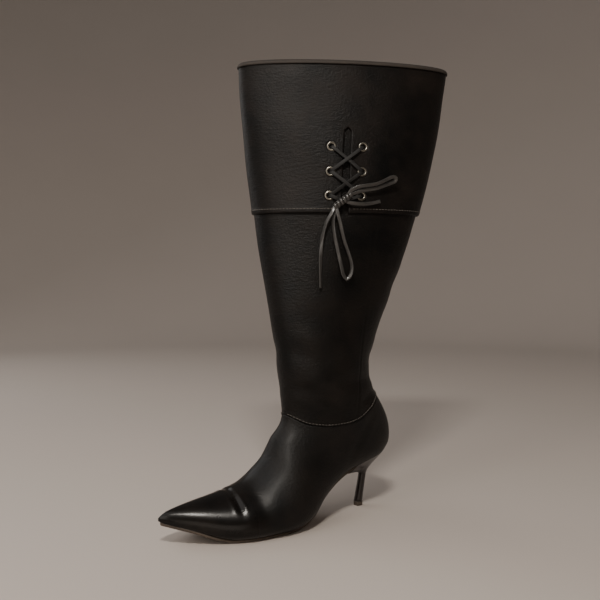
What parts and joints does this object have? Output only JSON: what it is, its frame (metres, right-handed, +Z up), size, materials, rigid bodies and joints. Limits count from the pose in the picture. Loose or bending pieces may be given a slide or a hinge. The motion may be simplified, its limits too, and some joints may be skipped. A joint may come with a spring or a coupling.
{
  "type": "knee-high boot",
  "caption": "Knee-high dress boot with a pointed toe, slim covered heel, side zip and a deep cuff that is laced on the outer side.",
  "frame": {"origin": "on the floor, under the middle of the boot's bounding box without its lace ends", "axes": "+X from the heel to the toe, +Y to the outer side of the left foot, +Z up"},
  "size_m": [0.3092, 0.1195, 0.459],
  "materials": {
    "black_leather": "semi-gloss grained",
    "heel_cover": "polished",
    "sole_rubber": "satin",
    "lining": "matt",
    "tape_cloth": "woven",
    "chain_nylon": "satin",
    "dark_metal": "aged nickel",
    "lace_leather": "semi-gloss"
  },
  "bodies": {
    "boot": {"upper": "black_leather", "shaft": "black_leather", "cuff": "black_leather", "outsole": "sole_rubber", "insole": "lining", "heel": "heel_cover", "heel_top_piece": "sole_rubber", "zip_tape": "tape_cloth", "zip_chain": "chain_nylon", "eyelet_front_1": "dark_metal", "eyelet_back_1": "dark_metal", "eyelet_front_2": "dark_metal", "eyelet_back_2": "dark_metal", "eyelet_front_3": "dark_metal", "eyelet_back_3": "dark_metal", "lace_crossings": "lace_leather", "lace_knot": "lace_leather", "lace_loop_back": "lace_leather", "lace_end_back": "lace_leather", "lace_end_down": "lace_leather", "lace_loop_down": "lace_leather", "zip_slider": "dark_metal"},
    "zip_pull": {"zip_pull_tab": "dark_metal"}
  },
  "joints": [
    {"name": "pull_tab_hinge", "type": "hinge", "parent": "boot", "child": "zip_pull", "pos_m": [-0.03986, -0.03909, 0.26644], "axis": [-0.9575, 0.2797, -0.0704], "range_deg": [0, 165]}
  ]
}
